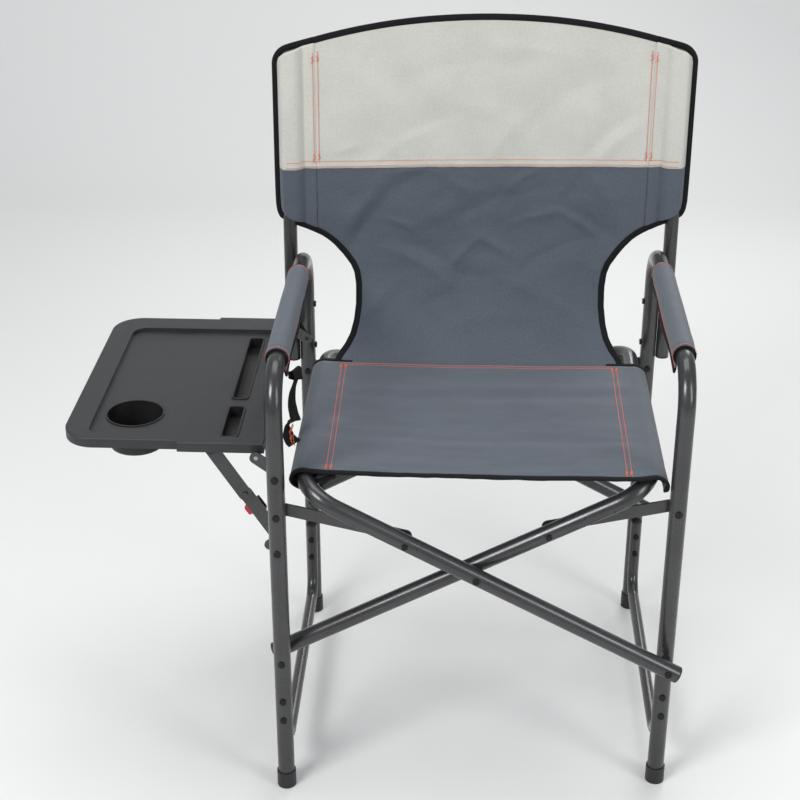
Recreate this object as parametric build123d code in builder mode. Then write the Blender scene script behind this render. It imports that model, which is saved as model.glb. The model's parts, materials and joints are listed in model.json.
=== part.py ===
from build123d import *
import os
from math import atan2, cos, degrees, hypot, radians, sin

# Folding director chair with a drop-leaf side table, in millimetres, +Z up.
# The sitter faces -Y, so the front of the chair is at low Y. "left" is low X.
# The origin lies on the floor, under the middle of the whole object's box.

# ---- where the chair stands in its own frame ----
CHAIR_X = 135.0           # middle plane between the two side frames
FRONT_Y = -269.1          # plane of the left front leg and of the front tube of cross frame A

# ---- tubes ----
TUBE = 25.4               # legs, arms and cross frames
WALL = 1.2
STRETCHER = 19.0          # lower side rails
POST = 22.2               # back posts

# ---- side frames ----
HALF_SPREAD = 285.5       # middle plane to a leg axis
LEG_DEPTH = 485.0         # front leg axis to rear leg axis
ARM_HEIGHT = 698.0        # arm tube axis above the floor
ARM_BEND = 60.0
GAP = 10.0                # spacer between the planes of crossing tubes
STEP = TUBE + GAP         # the right side frame and cross frame B stand this far back

# ---- scissor ----
PIVOT_HEIGHT = 232.0      # lower scissor pivots
CROSS_HEIGHT = 386.0      # middle pivot
LINK_HEIGHT = 483.5       # link pivots on the legs
RAIL_X = 250.0            # seat rail axis, from the middle plane
LINK_END_X = 103.0        # link's inner end, from the middle plane
CROSS_BEND = 55.0
END_OVER = 15.0           # tube past its lower pivot
SLOPE = atan2(CROSS_HEIGHT - PIVOT_HEIGHT, HALF_SPREAD)


def cross_height(x):
    """Height of a cross tube's axis at a distance from the middle plane, on its high side."""
    return CROSS_HEIGHT + x * (CROSS_HEIGHT - PIVOT_HEIGHT) / HALF_SPREAD


RAIL_HEIGHT = cross_height(RAIL_X)
LINK_END_HEIGHT = cross_height(LINK_END_X)

# ---- flat links and fasteners ----
LINK_WIDTH = 19.0
LINK_THICK = 3.0
LINK_OFFSET = TUBE / 2 + 4.0      # leg plane to the link's front face
BOLT = 6.0
RUNNING = 0.05                    # radial clearance of a hole that turns on a bolt
HEAD_DIAMETER = 11.0
HEAD_THICK = 2.6
SPACER_DIAMETER = 18.0

# ---- lower side rails ----
STRETCHER_HEIGHT = 58.0
STRETCHER_BEND = 42.0
STRETCHER_TOP = 190.0
STRETCHER_SCREWS = (129.5, 164.0)

# ---- back posts and back fabric ----
POST_X = HALF_SPREAD + TUBE / 2 + POST / 2 + 0.3
POST_BOTTOM = 505.0
POST_BEND_HEIGHT = 640.0
POST_TOP = 1000.0
POST_LEAN = 3.0                   # degrees, above the bend
POST_RIVETS = (528.0, 602.0)
FABRIC = 2.0
BACK_EDGE_X = 327.0               # outer edge of the back fabric
BACK_SEAM_X = 268.0               # post pocket's seam
BACK_POCKET_BOTTOM = 752.0
BACK_CORNER_TOP = 1014.0
BACK_CROWN = 1076.0               # top edge at the middle plane
HEAD_PANEL_BOTTOM = 842.0         # seam between the two cloths
WAIST_X = 198.0                   # narrowest half width, between the arm cut-outs
WAIST_HEIGHT = 600.0
WAIST_Y = 462.0

# ---- seat ----
SEAT_FRONT = 40.0                 # from FRONT_Y
SEAT_REAR = 402.0

# ---- arm sleeves ----
SLEEVE_FRONT = 62.0
SLEEVE_REAR = 378.0
SLEEVE_RADIUS = 17.0

# ---- feet ----
FOOT_DIAMETER = 29.0
FOOT_HEIGHT = 28.0

# ---- side table ----
TRAY_TOP = 582.0
TRAY_OUTER_X = 597.0              # from the middle plane
TRAY_INNER_X = 304.0
TRAY_STEP_X = 428.0               # inboard of this the tray is a little longer
TRAY_FRONT = 33.0                 # from FRONT_Y
TRAY_BACK = 461.0
TRAY_GROWTH = 7.0                 # extra length each way inboard of the step
TRAY_LIP = 15.0
TRAY_WALL = 3.0
TRAY_CORNER = 46.0
RECESS_DEPTH = 6.0
RECESS_OUTER_RIM = 36.0           # rim widths round the sunk surface
RECESS_INNER_RIM = 14.0
RECESS_FRONT_RIM = 13.0
RECESS_BACK_RIM = 41.0
RECESS_CORNER = 24.0
WELL_RISE = 1.5                   # rolled rims of the wells above the sunk surface
CUP_X = 505.0
CUP_Y = 124.0
CUP_RADIUS = 43.0
CUP_DEPTH = 52.0
SLOT_WIDTH = 21.0
SLOT_X = 358.0
LONG_SLOT = (180.0, 396.0)
SHORT_SLOT = (57.0, 151.0)
SLOT_DEPTH = 24.0
SLOT_CORNER = 5.0
HINGE_X = 314.0
HINGE_HEIGHT = 566.0
ROD = 6.0
KNUCKLES = (40.0, 242.0, 444.0)   # middles along the rod, from FRONT_Y
KNUCKLE_RADIUS = 6.0
KNUCKLE_LENGTH = 16.0
BRACKET_THICK = 2.5
TABLE_SCREW_HEIGHT = 545.0
BRACE_SCREW_HEIGHT = 424.0

# ---- folding brace of the table, in the plane square to Y ----
BRACE_FOOT_X = 299.0
BRACE_SLOPE = 58.0
BRACE_LOWER_LENGTH = 72.0
BRACE_UPPER_LENGTH = 87.0
BRACE_WIDTH = 20.0
BRACE_THICK = 3.0
BRACE_Y = 51.0                    # front face of the upper bar, from FRONT_Y

os.makedirs("parts", exist_ok=True)


def save(part, node):
    part.label = node
    export_step(part, f"parts/{node}.step")


def at(x, y, z):
    """A point given from the chair's middle plane and from the front leg plane."""
    return Vector(CHAIR_X + x, FRONT_Y + y, z)


def facing_back(x, y, z):
    """A plane that looks towards +Y, with its local x along +X and local y along -Z."""
    return Plane(origin=at(x, y, z), x_dir=(1, 0, 0), z_dir=(0, 1, 0))


def bent_tube(corners, diameter, bend, wall=WALL):
    """A hollow tube along straight runs joined by bends of one radius."""
    with BuildPart() as pipe:
        with BuildLine() as route:
            FilletPolyline(*corners, radius=bend)
        with BuildSketch(Plane(origin=route.line @ 0, z_dir=route.line % 0)):
            Circle(diameter / 2)
            Circle(diameter / 2 - wall, mode=Mode.SUBTRACT)
        sweep(path=route.line)
    return pipe.part


def drilled(part, places, radius, length):
    """The part with round holes along Y, each starting at its place."""
    with BuildPart() as body:
        add(part)
        for place in places:
            with BuildSketch(facing_back(*place)):
                Circle(radius)
            extrude(amount=length, mode=Mode.SUBTRACT)
    return body.part


def disc(place, diameter, thick, bore=0.0):
    """A round washer or head square to Y, from its place towards +Y."""
    with BuildPart() as ring:
        with BuildSketch(facing_back(*place)):
            Circle(diameter / 2)
            if bore:
                Circle(bore / 2, mode=Mode.SUBTRACT)
        extrude(amount=thick)
    return ring.part


def bolt(x, z, first_y, last_y):
    """A bolt along Y with a domed head in front and a nut behind, gripping first_y to last_y."""
    with BuildPart() as screw:
        with BuildSketch(facing_back(x, first_y - HEAD_THICK, z)):
            Circle(HEAD_DIAMETER / 2)
        extrude(amount=HEAD_THICK)
        fillet(screw.edges().group_by(Axis.Y)[0], 1.2)
        with BuildSketch(facing_back(x, first_y, z)):
            Circle(BOLT / 2)
        extrude(amount=last_y - first_y)
        with BuildSketch(facing_back(x, last_y, z)):
            RegularPolygon(HEAD_DIAMETER / 2, 6)
        extrude(amount=HEAD_THICK)
    return screw.part


def group(parts):
    """Separate solids kept together as one node."""
    with BuildPart() as together:
        for part in parts:
            add(part)
    return together.part


# =====================================================================
# Side frames: one bent tube makes the front leg, the arm and the rear leg
# =====================================================================
for side, sign, shift in (("left", -1, 0.0), ("right", 1, STEP)):
    leg_x = sign * HALF_SPREAD
    post_x = sign * POST_X
    rear = shift + LEG_DEPTH

    frame_route = [
        at(leg_x, shift, 2.0),
        at(leg_x, shift, ARM_HEIGHT),
        at(leg_x, rear, ARM_HEIGHT),
        at(leg_x, rear, 2.0),
    ]
    frame_tube = bent_tube(frame_route, TUBE, ARM_BEND)
    bolt_heights = [PIVOT_HEIGHT, LINK_HEIGHT] + list(STRETCHER_SCREWS)
    if side == "left":
        bolt_heights += [TABLE_SCREW_HEIGHT, BRACE_SCREW_HEIGHT]
    holes = [(leg_x, leg_y - TUBE, z) for leg_y in (shift, rear) for z in bolt_heights]
    frame_tube = drilled(frame_tube, holes, BOLT / 2 + RUNNING, 2 * TUBE)
    save(frame_tube, f"{side}_side_frame")

    # end caps, one under each leg, with a flat sole and a socket for the tube
    for end, leg_y in (("front", shift), ("rear", rear)):
        with BuildPart() as foot:
            with BuildSketch(Plane(origin=at(leg_x, leg_y, 0))):
                Circle(FOOT_DIAMETER / 2)
            extrude(amount=FOOT_HEIGHT)
            with BuildSketch(Plane(origin=at(leg_x, leg_y, 2.0))):
                Circle(TUBE / 2)
            extrude(amount=FOOT_HEIGHT, mode=Mode.SUBTRACT)
            fillet(foot.edges().filter_by(GeomType.CIRCLE).group_by(Axis.Z)[0], 1.5)
        save(foot.part, f"{side}_{end}_foot")

    # lower side rail: turned up behind the front leg and in front of the rear leg
    riser_front = shift + TUBE / 2 + STRETCHER / 2
    riser_rear = rear - TUBE / 2 - STRETCHER / 2
    rail_route = [
        at(leg_x, riser_front, STRETCHER_TOP),
        at(leg_x, riser_front, STRETCHER_HEIGHT),
        at(leg_x, riser_rear, STRETCHER_HEIGHT),
        at(leg_x, riser_rear, STRETCHER_TOP),
    ]
    stretcher = bent_tube(rail_route, STRETCHER, STRETCHER_BEND)
    riser_holes = [(leg_x, y - STRETCHER, z) for y in (riser_front, riser_rear) for z in STRETCHER_SCREWS]
    stretcher = drilled(stretcher, riser_holes, BOLT / 2 + RUNNING, 2 * STRETCHER)
    save(stretcher, f"{side}_stretcher")

    plugs = []
    for y in (riser_front, riser_rear):
        with BuildPart() as plug:
            with BuildSketch(Plane(origin=at(leg_x, y, STRETCHER_TOP))):
                Circle(STRETCHER / 2)
            extrude(amount=3.0)
            fillet(plug.edges().group_by(Axis.Z)[-1], 1.5)
            with BuildSketch(Plane(origin=at(leg_x, y, STRETCHER_TOP))):
                Circle(STRETCHER / 2 - WALL)
            extrude(amount=-8.0)
        plugs.append(plug.part)

    # bolts along Y: the stretcher's, the scissor's and the link's
    link_back = LINK_OFFSET + LINK_THICK + 0.1
    bolts = []
    for z in STRETCHER_SCREWS:
        bolts.append(bolt(leg_x, z, shift - TUBE / 2, riser_front + STRETCHER / 2))
        bolts.append(bolt(leg_x, z, riser_rear - STRETCHER / 2, rear + TUBE / 2))
    for leg_y in (shift, rear):
        bolts.append(bolt(leg_x, LINK_HEIGHT, leg_y - TUBE / 2, leg_y + link_back))
    for y in (0.0, LEG_DEPTH):
        bolts.append(bolt(leg_x, PIVOT_HEIGHT, y - TUBE / 2, y + STEP + TUBE / 2))
    save(group(bolts), f"{side}_frame_bolts")

    # spacers between the crossing tubes, and washers that hold the links off the legs
    spacers = []
    for y in (0.0, LEG_DEPTH):
        place = (leg_x, y + TUBE / 2 + 0.1, PIVOT_HEIGHT)
        spacers.append(disc(place, SPACER_DIAMETER, GAP - 0.2, BOLT + 4 * RUNNING))
    for leg_y in (shift, rear):
        place = (leg_x, leg_y + TUBE / 2, LINK_HEIGHT)
        spacers.append(disc(place, 14.0, LINK_OFFSET - TUBE / 2 - 0.1, BOLT + 4 * RUNNING))
    save(group(spacers), f"{side}_frame_spacers")

    # back post: upright beside the rear leg, then leaning back a little
    lean = POST_TOP - POST_BEND_HEIGHT
    post_route = [
        at(post_x, rear, POST_BOTTOM),
        at(post_x, rear, POST_BEND_HEIGHT),
        at(post_x, rear + lean * sin(radians(POST_LEAN)), POST_TOP),
    ]
    post = bent_tube(post_route, POST, 300.0)
    save(post, f"{side}_back_post")

    with BuildPart() as post_plug:
        with BuildSketch(Plane(origin=at(post_x, rear, POST_BOTTOM))):
            Circle(POST / 2)
        extrude(amount=-3.0)
        with BuildSketch(Plane(origin=at(post_x, rear, POST_BOTTOM))):
            Circle(POST / 2 - WALL)
        extrude(amount=8.0)
    plugs.append(post_plug.part)
    save(group(plugs), f"{side}_frame_plugs")

    # heads of the two rivets that run across, through the rear leg and the post
    rivets = []
    for z in POST_RIVETS:
        for x, outward in ((sign * (POST_X + POST / 2), sign), (sign * (HALF_SPREAD - TUBE / 2), -sign)):
            with BuildPart() as rivet:
                with BuildSketch(Plane(origin=at(x, rear, z), z_dir=(outward, 0, 0))):
                    Circle(5.0)
                extrude(amount=2.5)
            rivets.append(rivet.part)
    save(group(rivets), f"{side}_post_rivets")

    # padded fabric sleeve round the arm tube
    with BuildPart() as sleeve:
        with BuildSketch(facing_back(leg_x, shift + SLEEVE_FRONT, ARM_HEIGHT)):
            Circle(SLEEVE_RADIUS)
            Circle(TUBE / 2 + 0.3, mode=Mode.SUBTRACT)
        extrude(amount=SLEEVE_REAR - SLEEVE_FRONT)
    save(sleeve.part, f"{side}_arm_sleeve")

    # pocket of the back fabric round the post, with a flap that reaches to the pocket's seam
    top_y = rear + (BACK_CORNER_TOP - POST_BEND_HEIGHT) * sin(radians(POST_LEAN))
    low_y = rear + (BACK_POCKET_BOTTOM - POST_BEND_HEIGHT) * sin(radians(POST_LEAN))
    pocket_run = Vector(0, top_y - low_y, BACK_CORNER_TOP - BACK_POCKET_BOTTOM)
    pocket_plane = Plane(origin=at(post_x, low_y, BACK_POCKET_BOTTOM), x_dir=(1, 0, 0), z_dir=pocket_run)
    with BuildPart() as pocket:
        with BuildSketch(pocket_plane):
            Circle(POST / 2 + 0.4 + FABRIC)
            with Locations((sign * -(POST_X - BACK_SEAM_X) / 2, POST / 2 + 0.4 + FABRIC / 2)):
                Rectangle(POST_X - BACK_SEAM_X, FABRIC)
            with Locations((sign * (BACK_EDGE_X - POST_X) / 2, 0)):
                Rectangle(BACK_EDGE_X - POST_X, FABRIC)
            Circle(POST / 2 + 0.4, mode=Mode.SUBTRACT)
        extrude(amount=pocket_run.length)
        with BuildSketch(pocket_plane.offset(pocket_run.length - FABRIC)):
            Circle(POST / 2 + 1.0)
        extrude(amount=FABRIC)
    save(pocket.part, f"{side}_back_pocket")

# =====================================================================
# Cross frames: each runs from a lower pivot up to the other side's seat rail,
# back along the seat, and down again behind
# =====================================================================
over_x = END_OVER * cos(SLOPE)
over_z = END_OVER * sin(SLOPE)
for name, sign, shift in (("cross_a", 1, 0.0), ("cross_b", -1, STEP)):
    rear = shift + LEG_DEPTH
    cross_route = [
        at(sign * (HALF_SPREAD + over_x), shift, PIVOT_HEIGHT - over_z),
        at(-sign * RAIL_X, shift, RAIL_HEIGHT),
        at(-sign * RAIL_X, rear, RAIL_HEIGHT),
        at(sign * (HALF_SPREAD + over_x), rear, PIVOT_HEIGHT - over_z),
    ]
    cross_tube = bent_tube(cross_route, TUBE, CROSS_BEND)
    pivots = [
        (sign * HALF_SPREAD, PIVOT_HEIGHT),
        (0.0, CROSS_HEIGHT),
        (-sign * LINK_END_X, LINK_END_HEIGHT),
    ]
    holes = [(x, y - TUBE, z) for y in (shift, rear) for x, z in pivots]
    cross_tube = drilled(cross_tube, holes, BOLT / 2 + RUNNING, 2 * TUBE)
    save(cross_tube, f"{name}_tube")

    # plugs in the two lower ends, with a flange over the tube's end
    along = Vector(sign * cos(SLOPE), 0, -sin(SLOPE))
    plugs = []
    for y in (shift, rear):
        end_plane = Plane(origin=at(sign * (HALF_SPREAD + over_x), y, PIVOT_HEIGHT - over_z), z_dir=along)
        with BuildPart() as plug:
            with BuildSketch(end_plane):
                Circle(TUBE / 2)
            extrude(amount=2.5)
            with BuildSketch(end_plane):
                Circle(TUBE / 2 - WALL)
            extrude(amount=-6.0)
        plugs.append(plug.part)
    save(group(plugs), f"{name}_end_plugs")

    # rivet heads where the links end: on the outer face of this tube only
    heads = [disc((-sign * LINK_END_X, y - TUBE / 2 - 2.5, LINK_END_HEIGHT), 9.0, 2.5) for y in (shift, rear)]
    save(group(heads), f"{name}_link_rivets")

# ---- middle pivot, carried by cross frame A ----
middle_bolts = []
middle_spacers = []
for y in (0.0, LEG_DEPTH):
    middle_bolts.append(bolt(0.0, CROSS_HEIGHT, y - TUBE / 2, y + STEP + TUBE / 2))
    place = (0.0, y + TUBE / 2 + 0.1, CROSS_HEIGHT)
    middle_spacers.append(disc(place, SPACER_DIAMETER, GAP - 0.2, BOLT + 4 * RUNNING))
save(group(middle_bolts), "middle_pivot_bolts")
save(group(middle_spacers), "middle_pivot_spacers")

# =====================================================================
# Flat links from the legs to the cross tubes
# =====================================================================
for side, sign, shift in (("left", -1, 0.0), ("right", 1, STEP)):
    run_x = HALF_SPREAD - LINK_END_X
    run_z = LINK_HEIGHT - LINK_END_HEIGHT
    link_length = hypot(run_x, run_z)
    tilt = degrees(atan2(run_z, sign * -run_x))
    for end, leg_y in (("front", shift), ("rear", shift + LEG_DEPTH)):
        middle = (sign * (HALF_SPREAD + LINK_END_X) / 2, leg_y + LINK_OFFSET, (LINK_HEIGHT + LINK_END_HEIGHT) / 2)
        with BuildPart() as link:
            with BuildSketch(facing_back(*middle)):
                SlotCenterToCenter(link_length, LINK_WIDTH, rotation=tilt)
            extrude(amount=LINK_THICK)
        pivot_hole = [(sign * HALF_SPREAD, leg_y, LINK_HEIGHT)]
        save(drilled(link.part, pivot_hole, BOLT / 2 + RUNNING, TUBE), f"{side}_{end}_link")

    # rivet heads on the links' inner ends, clear of the tube in front
    heads = []
    for leg_y in (shift, shift + LEG_DEPTH):
        heads.append(disc((sign * LINK_END_X, leg_y + LINK_OFFSET - 2.5, LINK_END_HEIGHT), 12.0, 2.5))
    save(group(heads), f"{side}_link_rivets")

# =====================================================================
# Seat fabric: a sleeve round each seat rail and the sling between them
# =====================================================================
for side, sign, shift in (("left", -1, 0.0), ("right", 1, STEP)):
    sleeve_front = shift + CROSS_BEND + 3.0
    with BuildPart() as seat_sleeve:
        with BuildSketch(facing_back(sign * RAIL_X, sleeve_front, RAIL_HEIGHT)):
            Circle(TUBE / 2 + 0.3 + FABRIC)
            Circle(TUBE / 2 + 0.3, mode=Mode.SUBTRACT)
        extrude(amount=SEAT_REAR - sleeve_front)
    save(seat_sleeve.part, f"seat_sleeve_{side}")

sling_half = RAIL_X - TUBE / 2 - 3.0
sling_top = RAIL_HEIGHT + TUBE / 2
with BuildPart() as seat_sling:
    with BuildSketch(Plane(origin=at(0, (SEAT_FRONT + SEAT_REAR) / 2, sling_top))):
        Rectangle(2 * sling_half, SEAT_REAR - SEAT_FRONT)
    extrude(amount=-FABRIC * 2)
save(seat_sling.part, "seat_sling")

# =====================================================================
# Back fabric between the pocket seams, down to the seat
# =====================================================================
back_y = LEG_DEPTH + STEP / 2 + POST / 2
lean_rate = sin(radians(POST_LEAN))
back_crown_y = back_y + (BACK_CROWN - POST_BEND_HEIGHT) * lean_rate
back_pocket_y = back_y + (BACK_POCKET_BOTTOM - POST_BEND_HEIGHT) * lean_rate
with BuildPart() as back_panel:
    profile = [
        (FRONT_Y + SEAT_REAR + 4.0, RAIL_HEIGHT + 14.0),
        (FRONT_Y + WAIST_Y, WAIST_HEIGHT),
        (FRONT_Y + back_pocket_y, BACK_POCKET_BOTTOM),
        (FRONT_Y + back_crown_y, BACK_CROWN),
    ]
    with BuildSketch(Plane.YZ.offset(CHAIR_X - BACK_SEAM_X)):
        with BuildLine():
            Polyline(*profile, *[(y + 2 * FABRIC, z) for y, z in reversed(profile)], close=True)
        make_face()
    extrude(amount=2 * BACK_SEAM_X)
    # outline as seen from the front
    with BuildSketch(Plane(origin=at(0, 300, 0), x_dir=(1, 0, 0), z_dir=(0, -1, 0))):
        with BuildLine():
            Line((-BACK_SEAM_X, BACK_POCKET_BOTTOM - 16.0), (-BACK_SEAM_X, BACK_CORNER_TOP + 12.0))
            ThreePointArc(
                (-BACK_SEAM_X, BACK_CORNER_TOP + 12.0),
                (0, BACK_CROWN),
                (BACK_SEAM_X, BACK_CORNER_TOP + 12.0),
            )
            Line((BACK_SEAM_X, BACK_CORNER_TOP + 12.0), (BACK_SEAM_X, BACK_POCKET_BOTTOM - 16.0))
            ThreePointArc(
                (BACK_SEAM_X, BACK_POCKET_BOTTOM - 16.0),
                (WAIST_X, WAIST_HEIGHT),
                (BACK_SEAM_X - 40.0, RAIL_HEIGHT),
            )
            Line((BACK_SEAM_X - 40.0, RAIL_HEIGHT), (-BACK_SEAM_X + 40.0, RAIL_HEIGHT))
            ThreePointArc(
                (-BACK_SEAM_X + 40.0, RAIL_HEIGHT),
                (-WAIST_X, WAIST_HEIGHT),
                (-BACK_SEAM_X, BACK_POCKET_BOTTOM - 16.0),
            )
        make_face()
    extrude(amount=-300.0, mode=Mode.INTERSECT)
# the head panel is of another cloth than the one below it
for node, kept in (("back_head_panel", Keep.TOP), ("back_lower_panel", Keep.BOTTOM)):
    with BuildPart() as panel:
        add(back_panel.part)
        split(bisect_by=Plane.XY.offset(HEAD_PANEL_BOTTOM), keep=kept)
    save(panel.part, node)

# webbing that hangs between the left arm and the seat
with BuildPart() as side_strap:
    with BuildSketch(Plane.YZ.offset(CHAIR_X - 276.0)):
        with Locations((FRONT_Y + 150.0, 592.0)):
            Rectangle(38.0, 30.0)
        with Locations((FRONT_Y + 135.0, 556.0)):
            Rectangle(30.0, 34.0)
        with Locations((FRONT_Y + 140.0, 575.0)):
            Rectangle(12.0, 20.0)
    extrude(amount=2.0)
save(side_strap.part, "side_strap")

# =====================================================================
# Side table
# =====================================================================
tray_mid_x = -(TRAY_OUTER_X + TRAY_INNER_X) / 2
tray_mid_y = (TRAY_FRONT + TRAY_BACK) / 2
tray_width = TRAY_OUTER_X - TRAY_INNER_X
tray_length = TRAY_BACK - TRAY_FRONT
inner_width = TRAY_STEP_X - TRAY_INNER_X
inner_mid_x = -(TRAY_STEP_X + TRAY_INNER_X) / 2
recess_width = tray_width - RECESS_OUTER_RIM - RECESS_INNER_RIM
recess_length = tray_length - RECESS_FRONT_RIM - RECESS_BACK_RIM
recess_x = tray_mid_x + (RECESS_OUTER_RIM - RECESS_INNER_RIM) / 2
recess_y = tray_mid_y + (RECESS_FRONT_RIM - RECESS_BACK_RIM) / 2
well_top = TRAY_TOP - RECESS_DEPTH + WELL_RISE
slot_outer_width = SLOT_WIDTH + 2 * TRAY_WALL
slots = [(-SLOT_X, (low + high) / 2, high - low) for low, high in (LONG_SLOT, SHORT_SLOT)]


def tray_outline(inset, height):
    """The tray's outline at a height, moved in by inset: rounded outer corners and a longer inner part."""
    with BuildSketch(Plane(origin=at(0, 0, height))) as outline:
        with Locations((tray_mid_x, tray_mid_y)):
            Rectangle(tray_width - 2 * inset, tray_length - 2 * inset)
        fillet(outline.vertices().group_by(Axis.X)[0], TRAY_CORNER - inset)
        with Locations((inner_mid_x, tray_mid_y)):
            Rectangle(inner_width - 2 * inset, tray_length + 2 * TRAY_GROWTH - 2 * inset)
    return outline.sketch


with BuildPart() as tray:
    extrude(tray_outline(0.0, TRAY_TOP), amount=-TRAY_LIP)
    fillet(tray.edges().group_by(Axis.Z)[-1], 2.0)
    # hollow from below
    underside = tray_outline(TRAY_WALL, TRAY_TOP - TRAY_LIP)
    extrude(underside, amount=TRAY_LIP - RECESS_DEPTH - TRAY_WALL, mode=Mode.SUBTRACT)
    # sunk working surface, with wide rims on the outer and back sides
    with BuildSketch(Plane(origin=at(recess_x, recess_y, TRAY_TOP))):
        RectangleRounded(recess_width, recess_length, RECESS_CORNER)
    extrude(amount=-RECESS_DEPTH, mode=Mode.SUBTRACT)
    # notches for the hinge rod in the front and back lips
    with BuildSketch(Plane(origin=at(-HINGE_X, tray_mid_y, TRAY_TOP - TRAY_LIP))):
        Rectangle(ROD + 2.0, tray_length + 2 * TRAY_GROWTH + 2.0)
    extrude(amount=HINGE_HEIGHT + ROD / 2 + 1.0 - TRAY_TOP + TRAY_LIP, mode=Mode.SUBTRACT)
    # cup well and the two slots are open through the floor
    with BuildSketch(Plane(origin=at(-CUP_X, CUP_Y, TRAY_TOP))):
        Circle(CUP_RADIUS + 0.1)
    extrude(amount=-TRAY_LIP, mode=Mode.SUBTRACT)
    for x, y, length in slots:
        with BuildSketch(Plane(origin=at(x, y, TRAY_TOP))):
            RectangleRounded(slot_outer_width + 0.2, length + 2 * TRAY_WALL + 0.2, SLOT_CORNER + TRAY_WALL)
        extrude(amount=-TRAY_LIP, mode=Mode.SUBTRACT)
save(tray.part, "table_tray")

# cup well with a rolled rim and a flat bottom
with BuildPart() as cup_well:
    with BuildSketch(Plane(origin=at(-CUP_X, CUP_Y, well_top))):
        Circle(CUP_RADIUS)
    extrude(amount=-CUP_DEPTH, taper=3)
    fillet(cup_well.edges().group_by(Axis.Z)[0], 5.0)
    offset(amount=-TRAY_WALL + 0.6, openings=cup_well.faces().sort_by(Axis.Z)[-1])
save(cup_well.part, "table_cup_well")

# deep slots for a phone and a tablet
for node, (x, y, length) in zip(("table_long_slot", "table_short_slot"), slots):
    with BuildPart() as slot_box:
        with BuildSketch(Plane(origin=at(x, y, TRAY_TOP - SLOT_DEPTH))):
            RectangleRounded(slot_outer_width, length + 2 * TRAY_WALL, SLOT_CORNER + TRAY_WALL)
        extrude(amount=well_top - TRAY_TOP + SLOT_DEPTH)
        with BuildSketch(Plane(origin=at(x, y, TRAY_TOP - SLOT_DEPTH + TRAY_WALL))):
            RectangleRounded(SLOT_WIDTH, length, SLOT_CORNER)
        extrude(amount=SLOT_DEPTH, mode=Mode.SUBTRACT)
    save(slot_box.part, node)

# hinge: a rod between two brackets on the left legs, in knuckles under the tray's inner edge
FRONT_BRACKET_Y = TUBE / 2 + 0.1
REAR_BRACKET_Y = LEG_DEPTH - TUBE / 2 - BRACKET_THICK - 0.1
for end, bracket_y in (("front", FRONT_BRACKET_Y), ("rear", REAR_BRACKET_Y)):
    reach_x = HINGE_X - HALF_SPREAD
    reach_z = HINGE_HEIGHT - TABLE_SCREW_HEIGHT
    middle = (-(HINGE_X + HALF_SPREAD) / 2, bracket_y, (HINGE_HEIGHT + TABLE_SCREW_HEIGHT) / 2)
    with BuildPart() as bracket:
        with BuildSketch(facing_back(*middle)):
            SlotCenterToCenter(hypot(reach_x, reach_z), 18.0, rotation=degrees(atan2(reach_z, reach_x)))
        extrude(amount=BRACKET_THICK)
    holes = [(-HALF_SPREAD, bracket_y - 5, TABLE_SCREW_HEIGHT), (-HINGE_X, bracket_y - 5, HINGE_HEIGHT)]
    save(drilled(bracket.part, holes, BOLT / 2 + RUNNING, 15.0), f"table_{end}_bracket")

rod_length = REAR_BRACKET_Y + BRACKET_THICK - FRONT_BRACKET_Y
save(disc((-HINGE_X, FRONT_BRACKET_Y, HINGE_HEIGHT), ROD, rod_length), "table_hinge_rod")

tray_underside = TRAY_TOP - RECESS_DEPTH - TRAY_WALL
knuckle_rise = tray_underside - HINGE_HEIGHT
knuckles = []
for y in KNUCKLES:
    with BuildPart() as knuckle:
        with BuildSketch(facing_back(-HINGE_X, y - KNUCKLE_LENGTH / 2, HINGE_HEIGHT)):
            Circle(KNUCKLE_RADIUS)
            with Locations((0, -knuckle_rise / 2)):
                Rectangle(2 * KNUCKLE_RADIUS, knuckle_rise)
            Circle(ROD / 2 + RUNNING, mode=Mode.SUBTRACT)
        extrude(amount=KNUCKLE_LENGTH)
    knuckles.append(knuckle.part)
save(group(knuckles), "table_knuckles")

table_screws = []
for z, first, last in (
    (TABLE_SCREW_HEIGHT, -TUBE / 2, FRONT_BRACKET_Y),
    (BRACE_SCREW_HEIGHT, -TUBE / 2, FRONT_BRACKET_Y),
):
    with BuildPart() as screw:
        with BuildSketch(facing_back(-HALF_SPREAD, first - HEAD_THICK, z)):
            Circle(HEAD_DIAMETER / 2)
        extrude(amount=HEAD_THICK)
        fillet(screw.edges().group_by(Axis.Y)[0], 1.2)
        with BuildSketch(facing_back(-HALF_SPREAD, first, z)):
            Circle(BOLT / 2)
        extrude(amount=last - first + BRACKET_THICK)
    table_screws.append(screw.part)
with BuildPart() as rear_screw:
    with BuildSketch(facing_back(-HALF_SPREAD, REAR_BRACKET_Y, TABLE_SCREW_HEIGHT)):
        Circle(BOLT / 2)
    extrude(amount=BRACKET_THICK + TUBE + 0.1)
    with BuildSketch(facing_back(-HALF_SPREAD, LEG_DEPTH + TUBE / 2, TABLE_SCREW_HEIGHT)):
        Circle(HEAD_DIAMETER / 2)
    extrude(amount=HEAD_THICK)
table_screws.append(rear_screw.part)
save(group(table_screws), "table_screws")

# =====================================================================
# Folding brace: a lower bar on a stud behind the leg, an upper bar on the tray,
# and a sprung release button beside the knee
# =====================================================================
brace_along = Vector(-cos(radians(BRACE_SLOPE)), 0, sin(radians(BRACE_SLOPE)))
brace_foot = Vector(-BRACE_FOOT_X, 0, BRACE_SCREW_HEIGHT)
brace_knee = brace_foot + brace_along * BRACE_LOWER_LENGTH
brace_head = brace_foot + brace_along * (BRACE_LOWER_LENGTH + BRACE_UPPER_LENGTH)
LOWER_BAR_Y = BRACE_Y + BRACE_THICK + 0.5


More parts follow.
